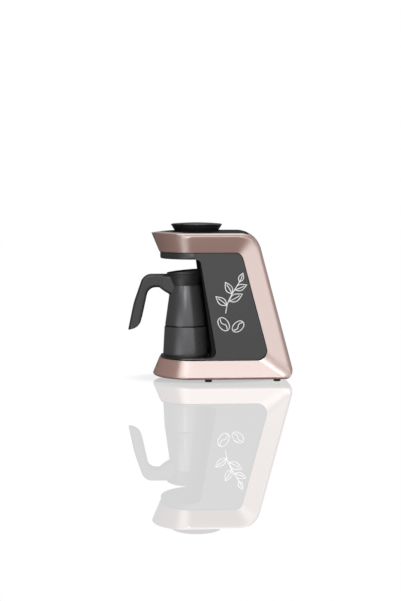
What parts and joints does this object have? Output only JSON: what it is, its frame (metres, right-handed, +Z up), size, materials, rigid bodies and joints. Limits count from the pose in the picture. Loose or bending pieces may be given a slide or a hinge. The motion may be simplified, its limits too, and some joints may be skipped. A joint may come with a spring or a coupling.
{
  "type": "electric turkish coffee maker",
  "caption": "Electric coffee pot on a powered seat in a C-shaped stand with a sloping back, and one push-and-turn knob on top.",
  "frame": {"origin": "on the surface that the feet stand on, under the middle of the whole object", "axes": "+Z up, +Y towards the sloping back, -Y towards the jug's handle"},
  "size_m": [0.14, 0.2556, 0.2438],
  "materials": {
    "rose_shell": "satin rose-gold metallic coat",
    "black_gloss": "gloss black",
    "black_matte": "fine matte black",
    "black_satin": "satin black",
    "pot_coat": "satin black coat",
    "knob_face": "black anodised",
    "rubber": "moulded",
    "steel": "zinc plated",
    "brass": "plated",
    "alloy": "bare",
    "heat_board": "mica",
    "board": "solder mask",
    "trim_plastic": "moulded",
    "lens": "dark tinted"
  },
  "bodies": {
    "frame": {"main_shell": "rose_shell", "rear_cover": "rose_shell", "top_plate": "black_gloss", "side_panel_left": "black_gloss", "side_panel_right": "black_gloss", "canopy_cover": "black_gloss", "niche_wall": "black_matte", "deck_cover": "black_matte", "base_plate": "black_matte", "cord_bush": "black_matte", "encoder_body": "black_matte", "buzzer": "black_matte", "control_chips": "black_matte", "relay": "black_matte", "seat_connector": "black_matte", "rubber_feet": "rubber", "base_screws": "steel", "foot_screws": "steel", "board_screws": "steel", "switch_dome": "steel", "contact_pins": "brass", "heat_sink": "alloy", "smoothing_capacitor": "alloy", "control_board": "board", "power_board": "board", "sensor_board": "board", "line_capacitor": "trim_plastic", "ribbon_plugs": "trim_plastic", "board_ribbon": "trim_plastic", "transformer": "trim_plastic", "sensor_lens": "lens"},
    "plunger": {"encoder_plunger": "black_matte"},
    "knob": {"knob_skirt": "black_gloss", "knob_cap": "knob_face", "knob_shaft": "steel"},
    "jug": {"jug_body": "pot_coat", "jug_sleeve": "black_satin", "jug_collar": "black_matte", "jug_foot_ring": "black_matte", "jug_handle": "black_satin", "handle_insert": "black_matte", "jug_socket": "black_matte", "heating_element": "steel", "heat_spreader": "alloy", "thermostat": "alloy", "heater_carrier": "heat_board", "jug_screws": "steel"}
  },
  "joints": [
    {"name": "knob_press", "type": "slide", "parent": "frame", "child": "plunger", "axis": [0, 0, -1], "range_m": [0, 0.0015], "stiffness_N_per_m": 1500, "springref_m": -0.0006, "deforming": ["switch_dome"]},
    {"name": "knob_turn", "type": "hinge", "parent": "plunger", "child": "knob", "pos_m": [0, -0.0207, 0.2153], "axis": [0, 0, 1], "continuous": true},
    {"name": "jug_lift", "type": "slide", "parent": "frame", "child": "jug", "axis": [0, 0, 1], "range_m": [0, 0.012]}
  ]
}
